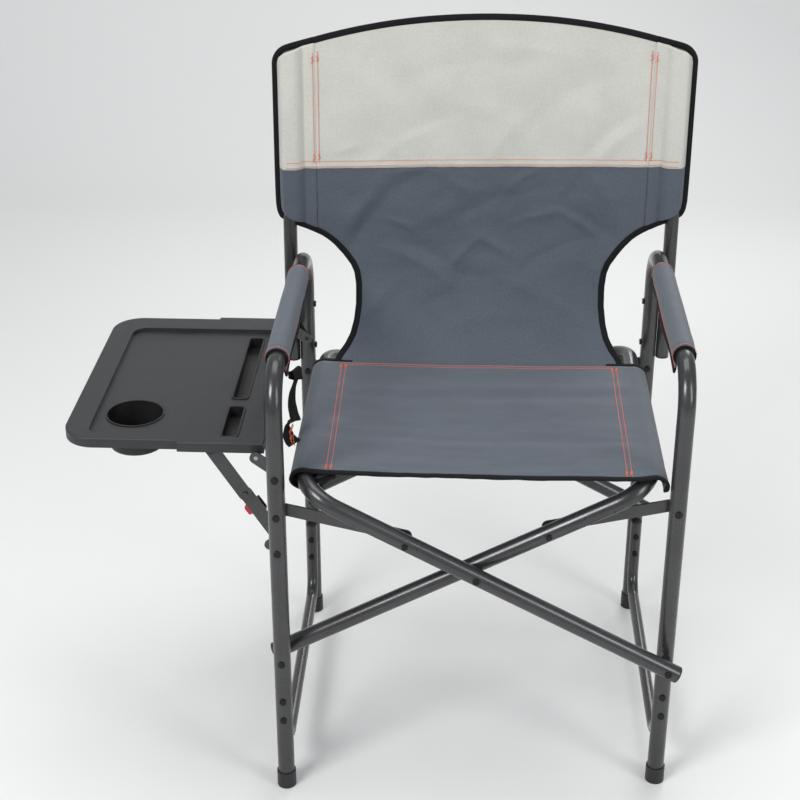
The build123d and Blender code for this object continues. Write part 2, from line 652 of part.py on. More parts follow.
def brace_bar(low, high, y):
    """A flat bar with round ends between two points, from y towards +Y."""
    middle = (low + high) * 0.5
    with BuildPart() as bar:
        with BuildSketch(facing_back(middle.X, y, middle.Z)):
            SlotCenterToCenter((high - low).length, BRACE_WIDTH, rotation=BRACE_SLOPE)
        extrude(amount=BRACE_THICK)
    return bar.part


# each bar keeps its own rivet head at the knee, so the bars only lap there
foot_hole = [(brace_foot.X, BRACE_Y, brace_foot.Z)]
knee_back_head = disc((brace_knee.X, LOWER_BAR_Y + BRACE_THICK, brace_knee.Z), 9.0, 2.0)
lower_bar = brace_bar(brace_foot, brace_knee, LOWER_BAR_Y)
save(drilled(group([lower_bar, knee_back_head]), foot_hole, 4.0 + RUNNING, 20.0), "brace_lower_bar")
head_hole = [(brace_head.X, BRACE_Y - 5, brace_head.Z)]
knee_front_head = disc((brace_knee.X, BRACE_Y - 2.0, brace_knee.Z), 9.0, 2.0)
upper_bar = brace_bar(brace_knee, brace_head, BRACE_Y)
save(drilled(group([upper_bar, knee_front_head]), head_hole, 3.0 + RUNNING, 20.0), "brace_upper_bar")

# plate with a long stud that carries the lower bar behind the front leg
stud_end = LOWER_BAR_Y + BRACE_THICK + 0.5
with BuildPart() as brace_mount:
    with BuildSketch(facing_back(-(HALF_SPREAD + BRACE_FOOT_X) / 2, FRONT_BRACKET_Y, BRACE_SCREW_HEIGHT)):
        SlotCenterToCenter(BRACE_FOOT_X - HALF_SPREAD, 16.0)
    extrude(amount=BRACKET_THICK)
    with BuildSketch(facing_back(-BRACE_FOOT_X, FRONT_BRACKET_Y, BRACE_SCREW_HEIGHT)):
        Circle(4.0)
    extrude(amount=stud_end - FRONT_BRACKET_Y)
    with BuildSketch(facing_back(-BRACE_FOOT_X, stud_end, BRACE_SCREW_HEIGHT)):
        Circle(7.0)
    extrude(amount=2.0)
mount_hole = [(-HALF_SPREAD, 0.0, BRACE_SCREW_HEIGHT)]
save(drilled(brace_mount.part, mount_hole, BOLT / 2 + RUNNING, TUBE), "brace_mount")

# two lugs under the tray, with a pin across that the upper bar turns on
with BuildPart() as brace_lugs:
    for y in (BRACE_Y - 3.4, BRACE_Y + BRACE_THICK + 0.4):
        with BuildSketch(facing_back(brace_head.X, y, brace_head.Z)):
            Circle(7.0)
            with Locations((0, -(tray_underside - brace_head.Z) / 2)):
                Rectangle(14.0, tray_underside - brace_head.Z)
        extrude(amount=3.0)
    with BuildSketch(facing_back(brace_head.X, BRACE_Y - 3.4, brace_head.Z)):
        Circle(3.0)
    extrude(amount=2 * 3.4 + BRACE_THICK)
save(brace_lugs.part, "table_brace_lugs")

# latch housing behind the lower bar, open across, and the button that slides in it
button_at = brace_foot + brace_along * 44.0
button_out = Vector(-sin(radians(BRACE_SLOPE)), 0, -cos(radians(BRACE_SLOPE)))
HOUSING_Y = LOWER_BAR_Y + BRACE_THICK
HOUSING_THICK = 10.0
BUTTON_LENGTH = 15.0
BUTTON_THICK = 6.0
latch_plane = Plane(origin=at(button_at.X, HOUSING_Y, button_at.Z), x_dir=button_out, z_dir=(0, 1, 0))
with BuildPart() as housing:
    with BuildSketch(latch_plane):
        Rectangle(20.0, 22.0)
    extrude(amount=HOUSING_THICK)
    with BuildSketch(latch_plane.offset(2.0)):
        Rectangle(30.0, BUTTON_LENGTH + 0.6)
    extrude(amount=BUTTON_THICK + 0.6, mode=Mode.SUBTRACT)
save(housing.part, "brace_latch_housing")
with BuildPart() as button:
    with BuildSketch(latch_plane.offset(2.3)):
        with Locations((6.0, 0)):
            Rectangle(24.0, BUTTON_LENGTH)
    extrude(amount=BUTTON_THICK)
    fillet(button.edges().filter_by(Axis.Y), 2.5)
save(button.part, "brace_release_button")
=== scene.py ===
# Folding director chair: cloth, stitching, materials, light and camera round the CAD frame.
import json
import math

import bpy
import numpy as np
from mathutils import Matrix, Vector, noise

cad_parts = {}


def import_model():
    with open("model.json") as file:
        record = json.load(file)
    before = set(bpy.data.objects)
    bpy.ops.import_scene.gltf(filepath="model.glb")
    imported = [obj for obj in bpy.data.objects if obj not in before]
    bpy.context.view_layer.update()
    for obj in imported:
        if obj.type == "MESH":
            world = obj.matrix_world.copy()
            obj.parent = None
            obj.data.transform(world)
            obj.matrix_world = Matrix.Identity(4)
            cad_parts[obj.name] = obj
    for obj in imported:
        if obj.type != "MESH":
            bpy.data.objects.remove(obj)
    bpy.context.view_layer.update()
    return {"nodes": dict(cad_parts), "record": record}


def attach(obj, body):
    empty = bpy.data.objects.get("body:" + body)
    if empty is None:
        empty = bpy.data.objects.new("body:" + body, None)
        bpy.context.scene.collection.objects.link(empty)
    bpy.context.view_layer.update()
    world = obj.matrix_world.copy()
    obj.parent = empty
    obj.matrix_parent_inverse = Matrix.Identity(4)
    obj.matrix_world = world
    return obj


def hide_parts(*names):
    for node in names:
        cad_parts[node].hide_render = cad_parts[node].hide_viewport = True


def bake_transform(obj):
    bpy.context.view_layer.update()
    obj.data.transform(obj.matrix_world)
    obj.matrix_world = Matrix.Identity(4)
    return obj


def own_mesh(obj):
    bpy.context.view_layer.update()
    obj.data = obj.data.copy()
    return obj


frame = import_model()

# ---- the chair's own coordinates, in millimetres: x from the middle plane, y from the left front leg ----
CHAIR_X = 135.0
FRONT_Y = -269.1
HALF_SPREAD = 285.5
STEP = 35.4                      # the right frame stands this far back
LEG_DEPTH = 485.0
ARM_HEIGHT = 698.0
RAIL_X = 250.0
RAIL_HEIGHT = 520.85
POST_X = 309.6
POST_RADIUS = 11.1
LEAN = math.sin(math.radians(3.0))
POST_BEND = 640.0


def world(points):
    """Chair millimetres to the frame's metres."""
    return (np.asarray(points, float) + np.array([CHAIR_X, FRONT_Y, 0.0])) / 1000.0


def place(x, y, z):
    return tuple(world((x, y, z)))


def smoothstep(low, high, value):
    t = np.clip((np.asarray(value, float) - low) / (high - low), 0.0, 1.0)
    return t * t * (3.0 - 2.0 * t)


# =====================================================================
# Materials
# =====================================================================
def shader(name, colour, roughness, metallic=0.0, specular=0.5):
    material = bpy.data.materials.new(name)
    material.use_nodes = True
    nodes = material.node_tree.nodes
    bsdf = nodes["Principled BSDF"]
    bsdf.inputs["Base Color"].default_value = (*colour, 1.0)
    bsdf.inputs["Roughness"].default_value = roughness
    bsdf.inputs["Metallic"].default_value = metallic
    bsdf.inputs["Specular IOR Level"].default_value = specular
    return material, nodes, material.node_tree.links, bsdf


def ramp(nodes, links, source, low, high, dark, light):
    """A two-colour ramp driven by source."""
    node = nodes.new("ShaderNodeValToRGB")
    node.color_ramp.elements[0].position = low
    node.color_ramp.elements[1].position = high
    node.color_ramp.elements[0].color = (*dark, 1.0)
    node.color_ramp.elements[1].color = (*light, 1.0)
    links.new(source, node.inputs["Fac"])
    return node.outputs["Color"]


def texture(nodes, links, coords, scale, detail=4.0, rough=0.5):
    node = nodes.new("ShaderNodeTexNoise")
    node.inputs["Scale"].default_value = scale
    node.inputs["Detail"].default_value = detail
    node.inputs["Roughness"].default_value = rough
    links.new(coords, node.inputs["Vector"])
    return node.outputs["Fac"]


def math_node(nodes, links, operation, first, second=None):
    node = nodes.new("ShaderNodeMath")
    node.operation = operation
    for socket, value in zip(node.inputs, (first, second)):
        if value is None:
            continue
        if isinstance(value, float):
            socket.default_value = value
        else:
            links.new(value, socket)
    return node.outputs[0]


def bump(nodes, links, height, distance, strength, before=None):
    node = nodes.new("ShaderNodeBump")
    node.inputs["Distance"].default_value = distance
    node.inputs["Strength"].default_value = strength
    links.new(height, node.inputs["Height"])
    if before is not None:
        links.new(before, node.inputs["Normal"])
    return node.outputs["Normal"]


def object_coords(nodes):
    return nodes.new("ShaderNodeTexCoord").outputs["Object"]


def weave(nodes, links, pitch):
    """Height of a plain weave, from the UV map in metres, and the two thread waves."""
    coords = nodes.new("ShaderNodeTexCoord").outputs["UV"]
    split = nodes.new("ShaderNodeSeparateXYZ")
    links.new(coords, split.inputs[0])
    turn = math.pi / pitch
    across = math_node(nodes, links, "SINE", math_node(nodes, links, "MULTIPLY", split.outputs["X"], turn))
    along = math_node(nodes, links, "SINE", math_node(nodes, links, "MULTIPLY", split.outputs["Y"], turn))
    product = math_node(nodes, links, "MULTIPLY", across, along)
    return math_node(nodes, links, "ABSOLUTE", product), product, coords


def cloth(name, dark, light, roughness, sheen=0.25, pitch=0.00085):
    """Woven polyester: two tones of thread, a fine plain weave, a faint slub, and painted shade in the low
    parts of a soft bump.
    """
    material, nodes, links, bsdf = shader(name, light, roughness, specular=0.25)
    height, product, coords = weave(nodes, links, pitch)
    slub = texture(nodes, links, coords, 260.0, 3.0, 0.6)
    dip_height_and_shade = texture(nodes, links, coords, 14.0, 5.0, 0.55)
    tone = math_node(nodes, links, "MULTIPLY_ADD", product, 0.22)
    links.new(slub, tone.node.inputs[2])
    colour = ramp(nodes, links, tone, 0.25, 0.75, dark, light)
    # painted shade: the colour is darkened by up to a tenth where the soft bump below is low
    shade = ramp(nodes, links, dip_height_and_shade, 0.3, 0.7, (0.90, 0.90, 0.905), (1.0, 1.0, 1.0))
    mix = nodes.new("ShaderNodeMix")
    mix.data_type = "RGBA"
    mix.blend_type = "MULTIPLY"
    mix.inputs["Factor"].default_value = 1.0
    links.new(colour, mix.inputs["A"])
    links.new(shade, mix.inputs["B"])
    links.new(mix.outputs["Result"], bsdf.inputs["Base Color"])
    rough = nodes.new("ShaderNodeMapRange")
    rough.inputs["To Min"].default_value = roughness - 0.06
    rough.inputs["To Max"].default_value = roughness + 0.08
    links.new(slub, rough.inputs["Value"])
    links.new(rough.outputs["Result"], bsdf.inputs["Roughness"])
    soft = bump(nodes, links, dip_height_and_shade, 0.004, 0.25)
    links.new(bump(nodes, links, height, 0.0003, 0.55, soft), bsdf.inputs["Normal"])
    bsdf.inputs["Sheen Weight"].default_value = sheen
    bsdf.inputs["Sheen Roughness"].default_value = 0.45
    return material


def webbing(name, colour, pitch=0.0016):
    """Ribbed tape: ribs run across it, with a fine thread in each; the rib crests are painted lighter and the
    grooves darker, a painted highlight and painted shade.
    """
    material, nodes, links, bsdf = shader(name, colour, 0.78, specular=0.2)
    height, _, coords = weave(nodes, links, pitch)
    split = nodes.new("ShaderNodeSeparateXYZ")
    links.new(coords, split.inputs[0])
    ribs = math_node(
        nodes, links, "SINE", math_node(nodes, links, "MULTIPLY", split.outputs["Y"], 2.0 * math.pi / pitch)
    )
    # painted highlight and shade: the colour follows the rib height, lighter on the crests and darker in the
    # grooves, with a random fleck added
    tone = math_node(nodes, links, "MULTIPLY_ADD", ribs, 0.25)
    links.new(texture(nodes, links, coords, 400.0), tone.node.inputs[2])
    light = tuple(c * 1.5 + 0.001 for c in colour)
    links.new(ramp(nodes, links, tone, 0.2, 0.8, colour, light), bsdf.inputs["Base Color"])
    rib_bump = bump(nodes, links, ribs, 0.0004, 0.6)
    links.new(bump(nodes, links, height, 0.0002, 0.4, rib_bump), bsdf.inputs["Normal"])
    bsdf.inputs["Sheen Weight"].default_value = 0.03
    return material


def thread(name, dark, light):
    """Twisted sewing thread."""
    material, nodes, links, bsdf = shader(name, light, 0.55, specular=0.3)
    coords = object_coords(nodes)
    twist = texture(nodes, links, coords, 1400.0, 2.0)
    links.new(ramp(nodes, links, twist, 0.3, 0.7, dark, light), bsdf.inputs["Base Color"])
    links.new(bump(nodes, links, twist, 0.0003, 0.5), bsdf.inputs["Normal"])
    bsdf.inputs["Sheen Weight"].default_value = 0.3
    return material


def powder_coat(name, dark, light):
    """Gunmetal powder coat: metallic flake, faint orange peel, and duller scuffed patches."""
    material, nodes, links, bsdf = shader(name, light, 0.3, metallic=0.55)
    coords = object_coords(nodes)
    flake = texture(nodes, links, coords, 2600.0, 2.0)
    cloud = texture(nodes, links, coords, 9.0, 4.0)
    tone = math_node(nodes, links, "MULTIPLY_ADD", flake, 0.3)
    links.new(math_node(nodes, links, "MULTIPLY", cloud, 0.7), tone.node.inputs[2])
    links.new(ramp(nodes, links, tone, 0.3, 0.7, dark, light), bsdf.inputs["Base Color"])
    peel = texture(nodes, links, coords, 520.0, 2.0)
    scuff = texture(nodes, links, coords, 38.0, 6.0, 0.65)
    rough = nodes.new("ShaderNodeMapRange")
    rough.inputs["From Min"].default_value = 0.35
    rough.inputs["From Max"].default_value = 0.75
    rough.inputs["To Min"].default_value = 0.24
    rough.inputs["To Max"].default_value = 0.42
    links.new(scuff, rough.inputs["Value"])
    links.new(rough.outputs["Result"], bsdf.inputs["Roughness"])
    links.new(bump(nodes, links, peel, 0.0002, 0.25), bsdf.inputs["Normal"])
    bsdf.inputs["Coat Weight"].default_value = 0.35
    bsdf.inputs["Coat Roughness"].default_value = 0.12
    return material


def moulded(name, dark, light, roughness, grain=1500.0, depth=0.25):
    """Moulded plastic: fine spark-eroded grain, slightly uneven sheen and pale rubbed spots."""
    material, nodes, links, bsdf = shader(name, light, roughness, specular=0.45)
    coords = object_coords(nodes)
    fine = texture(nodes, links, coords, grain, 3.0, 0.6)
    cloud = texture(nodes, links, coords, 16.0, 5.0, 0.6)
    links.new(ramp(nodes, links, cloud, 0.3, 0.75, dark, light), bsdf.inputs["Base Color"])
    rough = nodes.new("ShaderNodeMapRange")
    rough.inputs["From Min"].default_value = 0.3
    rough.inputs["From Max"].default_value = 0.7
    rough.inputs["To Min"].default_value = roughness - 0.05
    rough.inputs["To Max"].default_value = roughness + 0.1
    links.new(cloud, rough.inputs["Value"])
    links.new(rough.outputs["Result"], bsdf.inputs["Roughness"])
    links.new(bump(nodes, links, fine, 0.0004, depth), bsdf.inputs["Normal"])
    return material


def blackened(name):
    """Black oxide hardware with bright rubbed spots."""
    material, nodes, links, bsdf = shader(name, (0.03, 0.03, 0.032), 0.35, metallic=0.7)
    coords = object_coords(nodes)
    wear = texture(nodes, links, coords, 330.0, 6.0, 0.7)
    links.new(
        ramp(nodes, links, wear, 0.55, 0.8, (0.016, 0.016, 0.018), (0.11, 0.11, 0.115)),
        bsdf.inputs["Base Color"],
    )
    links.new(bump(nodes, links, wear, 0.0003, 0.3), bsdf.inputs["Normal"])
    return material


def brushed(name):
    material, nodes, links, bsdf = shader(name, (0.4, 0.4, 0.41), 0.35, metallic=1.0)
    coords = object_coords(nodes)
    stretch = nodes.new("ShaderNodeMapping")
    stretch.inputs["Scale"].default_value = (1.0, 0.02, 1.0)
    links.new(coords, stretch.inputs["Vector"])
    lines = texture(nodes, links, stretch.outputs["Vector"], 1800.0, 3.0)
    tone = ramp(nodes, links, lines, 0.3, 0.7, (0.3, 0.3, 0.31), (0.5, 0.5, 0.51))
    links.new(tone, bsdf.inputs["Base Color"])
    links.new(bump(nodes, links, lines, 0.0002, 0.4), bsdf.inputs["Normal"])
    return material


SLATE_DARK = (0.074, 0.090, 0.112)
SLATE_LIGHT = (0.104, 0.122, 0.149)
slate = cloth("slate_cloth", SLATE_DARK, SLATE_LIGHT, 0.74)
putty = cloth("putty_cloth", (0.54, 0.54, 0.49), (0.63, 0.63, 0.575), 0.8)
sleeve_cloth = cloth("sleeve_cloth", SLATE_DARK, SLATE_LIGHT, 0.7)
tape = webbing("black_binding", (0.005, 0.005, 0.006))
strap_tape = webbing("black_webbing", (0.005, 0.005, 0.006), 0.0022)
orange = thread("orange_thread", (0.62, 0.10, 0.035), (0.85, 0.19, 0.07))
metal = powder_coat("grey_powder_coat", (0.040, 0.040, 0.041), (0.064, 0.065, 0.067))
plastics = {
    "grey_powder_coat": metal,
    "black_cap_plastic": moulded("black_cap_plastic", (0.010, 0.010, 0.011), (0.022, 0.022, 0.024), 0.45),
    "black_fastener": blackened("black_fastener"),
    "tray_plastic": moulded("tray_plastic", (0.019, 0.020, 0.021), (0.028, 0.029, 0.031), 0.42, 1700.0, 0.35),
    # the cup well's plastic is painted darker than the tray's: painted shade inside the deep recess
    "well_plastic": moulded("well_plastic", (0.006, 0.006, 0.007), (0.014, 0.014, 0.015), 0.4),
    "red_plastic": moulded("red_plastic", (0.42, 0.012, 0.03), (0.55, 0.02, 0.045), 0.26, 900.0, 0.12),
    "steel_rod": brushed("steel_rod"),
}

soft_nodes = {
    "seat_sling", "seat_sleeve_left", "seat_sleeve_right", "left_arm_sleeve", "right_arm_sleeve",
    "back_head_panel", "back_lower_panel", "left_back_pocket", "right_back_pocket", "side_strap",
}
for row in frame["record"]["subparts"]:
    if row["node"] not in soft_nodes:
        part = frame["nodes"][row["node"]]
        part.data.materials.clear()
        part.data.materials.append(plastics[row["material_slot"]])


# =====================================================================
# Mesh helpers
# =====================================================================
def mesh_object(name, points, faces, material, uvs=None):
    """A smooth-shaded object from chair-millimetre points, with UVs in metres if given per point."""
    mesh = bpy.data.meshes.new(name)
    mesh.from_pydata([tuple(p) for p in world(points)], [], faces)
    mesh.update()
    if uvs is not None:
        layer = mesh.uv_layers.new(name="UVMap")
        index = np.empty(len(mesh.loops), dtype=np.int32)
        mesh.loops.foreach_get("vertex_index", index)
        layer.data.foreach_set("uv", (np.asarray(uvs, float)[index] / 1000.0).ravel())
    mesh.polygons.foreach_set("use_smooth", [True] * len(mesh.polygons))
    mesh.materials.append(material)
    item = bpy.data.objects.new(name, mesh)
    bpy.context.scene.collection.objects.link(item)
    return item


def grid_normals(grid):
    along = np.gradient(grid, axis=0)
    across = np.gradient(grid, axis=1)
    normals = np.cross(across, along)
    return normals / np.maximum(np.linalg.norm(normals, axis=2, keepdims=True), 1e-9)


def grid_uvs(grid):
    """Distance along each row and each column, in millimetres."""
    across = np.linalg.norm(np.diff(grid, axis=1), axis=2)
    u = np.concatenate([np.zeros((len(grid), 1)), np.cumsum(across, axis=1)], axis=1)
    u -= u[:, -1:] / 2
    along = np.linalg.norm(np.diff(grid, axis=0), axis=2)
    v = np.concatenate([np.zeros((1, grid.shape[1])), np.cumsum(along, axis=0)], axis=0)
    return np.stack([u, v], axis=2)


def cloth_sheet(name, grid, material, thick=1.6):
    """A closed, thin sheet from a grid of points on its middle surface."""
    rows, columns = grid.shape[:2]
    normals = grid_normals(grid)
    uv = grid_uvs(grid).reshape(-1, 2)
    front = (grid + normals * thick / 2).reshape(-1, 3)
    rear = (grid - normals * thick / 2).reshape(-1, 3)
    points = np.concatenate([front, rear])
    count = rows * columns
    faces = []
    for r in range(rows - 1):
        for c in range(columns - 1):
            a = r * columns + c
            quad = (a, a + 1, a + 1 + columns, a + columns)
            faces.append(quad)
            faces.append(tuple(q + count for q in reversed(quad)))
    border = list(range(columns))
    border += [r * columns + columns - 1 for r in range(1, rows)]
    border += [(rows - 1) * columns + c for c in range(columns - 2, -1, -1)]
    border += [r * columns for r in range(rows - 2, 0, -1)]
    for first, second in zip(border, border[1:] + border[:1]):
        faces.append((second, first, first + count, second + count))
    return mesh_object(name, points, faces, material, np.concatenate([uv, uv]))


def path_frames(path):
    tangent = np.gradient(path, axis=0)
    return tangent / np.maximum(np.linalg.norm(tangent, axis=1, keepdims=True), 1e-9)


def resample(path, normals, pitch):
    steps = np.linalg.norm(np.diff(path, axis=0), axis=1)
    length = np.concatenate([[0.0], np.cumsum(steps)])
    wanted = np.linspace(0.0, length[-1], max(3, int(round(length[-1] / pitch)) + 1))
    points = np.stack([np.interp(wanted, length, path[:, i]) for i in range(3)], axis=1)
    facing = np.stack([np.interp(wanted, length, normals[:, i]) for i in range(3)], axis=1)
    return points, facing / np.linalg.norm(facing, axis=1, keepdims=True)


def swept(name, path, normals, profile, material, closed=False, ends=True):
    """A profile of (sideways, outward) offsets carried along a path; sideways is normal x tangent."""
    tangent = path_frames(path)
    sideways = np.cross(normals, tangent)
    sideways /= np.maximum(np.linalg.norm(sideways, axis=1, keepdims=True), 1e-9)
    profile = np.asarray(profile, float)
    rings = path[:, None] + sideways[:, None] * profile[None, :, :1] + normals[:, None] * profile[None, :, 1:]
    stations, sides = rings.shape[:2]
    faces = []
    for s in range(stations if closed else stations - 1):
        for k in range(sides):
            a, b = s * sides + k, s * sides + (k + 1) % sides
            c, d = ((s + 1) % stations) * sides + (k + 1) % sides, ((s + 1) % stations) * sides + k
            faces.append((a, b, c, d))
    if ends and not closed:
        faces.append(tuple(range(sides - 1, -1, -1)))
        faces.append(tuple((stations - 1) * sides + k for k in range(sides)))
    steps = np.concatenate([[0.0], np.cumsum(np.linalg.norm(np.diff(path, axis=0), axis=1))])
    around = np.concatenate([[0.0], np.cumsum(np.linalg.norm(np.diff(profile, axis=0), axis=1))])
    uv = np.stack(np.broadcast_arrays(around[None, :], steps[:, None]), axis=2).reshape(-1, 2)
    return mesh_object(name, rings.reshape(-1, 3), faces, material, uv)


BINDING_WIDTH = 9.0
BINDING = [
    (BINDING_WIDTH, 0.9), (BINDING_WIDTH - 0.8, 1.7), (4.0, 2.0), (0.8, 1.9), (-0.9, 1.0),
    (-0.9, -1.0), (0.8, -1.9), (4.0, -2.0), (BINDING_WIDTH - 0.8, -1.7), (BINDING_WIDTH, -0.9),
]


def binding(name, path, normals, flip=False):
    """Edge tape with its width along normal x tangent from the path, or the other way if flip is true."""
    path, normals = resample(np.asarray(path, float), np.asarray(normals, float), 4.0)
    profile = [(-a if flip else a, b) for a, b in BINDING]
    return swept(name, path, normals, profile[::-1] if flip else profile, tape)


def stitches(name, rows, length=3.5, pitch=4.4, width=1.15):
    """Rows of (path, normals) sewn as separate raised stitches, in one mesh."""
    angles = np.arange(6) * math.pi / 3
    stations = ((-0.5, 0.3, -0.25), (-0.3, 1.0, 0.25), (0.3, 1.0, 0.25), (0.5, 0.3, -0.25))
    points, faces = [], []
    for path, normals in rows:
        path, normals = resample(np.asarray(path, float), np.asarray(normals, float), pitch)
        tangent = path_frames(path)
        side = np.cross(normals, tangent)
        for p, n, t, s in zip(path[:-1], normals[:-1], tangent[:-1], side[:-1]):
            base = len(points)
            for along, size, lift in stations:
                for angle in angles:
                    points.append(
                        p + t * along * length + s * math.cos(angle) * size * width / 2
                        + n * (lift + math.sin(angle) * size * width / 2.6)
                    )
            for ring in range(3):
                for k in range(6):
                    a = base + ring * 6
                    faces.append((a + k, a + (k + 1) % 6, a + 6 + (k + 1) % 6, a + 6 + k))
            faces.append(tuple(base + k for k in range(5, -1, -1)))
            faces.append(tuple(base + 18 + k for k in range(6)))
    return mesh_object(name, np.array(points), faces, orange)


def bartack(point, normal, along, size=11.0, width=2.6):
    """Rows for one bartack: a dense zigzag laid across the seam."""
    normal, along = np.asarray(normal, float), np.asarray(along, float)
    side = np.cross(normal, along)
    count = int(size / 0.9)
    path = [
        np.asarray(point, float) + along * (k * 0.9 - size / 2) + side * width / 2 * (-1) ** k + normal * 0.3
        for k in range(count)
    ]
    return np.array(path), np.tile(normal, (count, 1))


# =====================================================================
# The back: two cloths, a pocket round each post
# =====================================================================
HEAD_BOTTOM = 836.0
SEAM_X = 266.0
SEAT_SEAM_Y = 402.0
SEAT_SEAM_Z = 529.5
EDGE_X = 323.5                   # the back cloth reaches this far out
CORNER_RADIUS = 15.0
OUTLINE = np.array([
    (SEAT_SEAM_Z, 228.0), (540.0, 222.0), (552.0, 211.0), (566.0, 202.5), (585.0, 197.0), (610.0, 194.0),
    (640.0, 194.5), (661.0, 197.5), (676.0, 204.0), (693.0, 216.5), (707.0, 228.0), (717.0, 238.0),
    (727.0, 251.0), (735.0, 265.0), (742.0, 282.0), (747.0, 298.0), (751.5, 311.0), (757.0, 319.0),
    (765.0, 321.6), (776.0, 322.9), (800.0, 323.3), (842.0, EDGE_X), (1076.0, EDGE_X),
])
CROWN = 1068.0
CROWN_DROP = 53.0
HANG = np.array([(509.0, 760.0), (500.0, 600.0), (SEAT_SEAM_Y, SEAT_SEAM_Z)])
hang_t = np.linspace(0.0, 1.0, 200)[:, None]
hang_curve = HANG[0] * (1 - hang_t) ** 2 + 2 * HANG[1] * hang_t * (1 - hang_t) + HANG[2] * hang_t ** 2
CREASES = [
    # x, z, direction in degrees, length, width, depth
    (164, 737, -36, 30, 5, -4.0), (172, 746, -36, 42, 9, 2.6), (24, 702, -30, 38, 8, -3.4),
    (96, 754, 14, 36, 7, -2.6), (-172, 612, 50, 34, 12, -4.2), (-130, 741, -20, 22, 6, -2.4),
    (-84, 668, -34, 66, 13, -4.2), (-74, 684, -34, 60, 12, 3.0), (-28, 692, 46, 34, 7, -3.2),
    (-292, 806, 6, 26, 9, -2.2), (-104, 832, 4, 50, 8, -2.8), (-200, 760, 56, 62, 15, -3.4),
    (-186, 742, 52, 56, 13, 3.2), (64, 640, -12, 62, 13, -2.8), (110, 690, 28, 52, 12, 2.8),
    (210, 772, -58, 58, 15, -2.6), (150, 800, 62, 36, 10, 2.2), (0, 770, 24, 60, 14, 2.8),
    (-40, 806, -28, 58, 12, -2.4), (60, 812, 40, 40, 10, -2.4), (-140, 800, 34, 46, 11, 2.4),
    (20, 596, 4, 90, 12, -2.2), (-60, 620, 18, 60, 14, 2.4), (130, 612, -26, 54, 12, -2.2),
    (236, 800, 82, 34, 12, -1.8), (190, 660, -62, 46, 11, -2.0), (-10, 652, -8, 70, 12, 2.6),
]
HEAD_CREASES = [
    # x, z, direction in degrees, length, width, depth
    (216, 878, 40, 54, 11, -1.9), (200, 892, 42, 60, 12, 1.6), (36, 884, 50, 52, 14, -1.3),
    (-122, 880, 30, 58, 12, -1.8), (-104, 894, 30, 60, 14, 1.4), (150, 960, 28, 80, 20, 1.4),
    (-180, 970, -34, 70, 18, -1.3), (-40, 1000, 8, 90, 18, 1.2), (90, 1020, -14, 70, 15, -1.1),
    (-216, 866, 18, 30, 9, -1.4), (244, 940, -70, 50, 12, -1.0), (-10, 930, -20, 80, 20, -1.0),
]


def lean_of(z):
    return LEAN * (np.maximum(z, POST_BEND) - POST_BEND)


def creases(x, z, table):
    total = np.zeros_like(x)
    for cx, cz, direction, length, width, depth in table:
        c, s = math.cos(math.radians(direction)), math.sin(math.radians(direction))
        along = (x - cx) * c + (z - cz) * s
        across = -(x - cx) * s + (z - cz) * c + 0.0022 * along ** 2
        ridge = np.exp(-np.abs(across / width) ** 1.5)
        total += depth * ridge * np.exp(-(along / length) ** 2)
    return total


def fractal(x, y, scale, seed, octaves=4):
    values = [
        noise.fractal(Vector((float(a) / scale, float(b) / scale, seed)), 0.9, 2.1, octaves)
        for a, b in zip(np.ravel(x), np.ravel(y))
    ]
    return np.array(values).reshape(np.shape(x))


def back_middle(x, z):
    """Where the undisturbed cloth hangs: between the posts above, swinging forward to the seat below."""
    x, z = np.asarray(x, float), np.asarray(z, float)
    upper = 502.7 + lean_of(z)
    lower = np.interp(z, hang_curve[::-1, 1], hang_curve[::-1, 0])
    y = np.where(z > 760.0, upper, lower)
    skew = STEP / 2 * np.clip(x / POST_X, -1.0, 1.0)
    return y + skew * smoothstep(545.0, 760.0, z) - 5.0 * smoothstep(700.0, 760.0, z)


def back_surface(x, z):
    """The middle panel with its folds."""
    x, z = np.asarray(x, float), np.asarray(z, float)
    y = back_middle(x, z)
    sides = 1.0 - 0.75 * smoothstep(210.0, 262.0, np.abs(x))
    low = smoothstep(SEAT_SEAM_Z, 575.0, z)
    head = smoothstep(HEAD_BOTTOM, HEAD_BOTTOM + 14.0, z)
    top = 1.0 - smoothstep(1020.0, 1068.0, z)
    folds = 1.35 * creases(x, z, CREASES) * (1.0 - smoothstep(824.0, HEAD_BOTTOM, z)) * low
    folds += 1.6 * creases(x, z, HEAD_CREASES) * head * (0.3 + 0.7 * top)
    rough = fractal(x, z * 1.15, 82.0, 3.1) * (2.6 - 1.9 * smoothstep(820.0, 860.0, z)) * low
    rough += fractal(x, z, 26.0, 8.7, 3) * (0.75 - 0.5 * smoothstep(820.0, 860.0, z)) * low
    pucker = 0.5 * np.sin(x / 5.2 + 1.5 * np.sin(x / 31.0)) * np.exp(-((z - HEAD_BOTTOM) / 9.0) ** 2)
    bow = -7.0 * np.sin(np.pi * np.clip((z - 560.0) / 510.0, 0, 1))
    bow = bow * np.cos(np.clip(x / SEAM_X, -1, 1) * np.pi / 2)
    return y + (folds + rough) * sides + pucker - bow


def half_width(z):
    return np.interp(z, OUTLINE[:, 0], OUTLINE[:, 1])


def top_edge(x):
    """The crown, with rounded outer corners."""
    corner = np.clip((np.abs(x) - EDGE_X) / CORNER_RADIUS + 1.0, 0.0, 1.0)
    drop = CORNER_RADIUS * (1.0 - np.sqrt(1.0 - corner ** 2 * 0.999))
    return CROWN - CROWN_DROP * (np.abs(x) / EDGE_X) ** 2.1 - drop


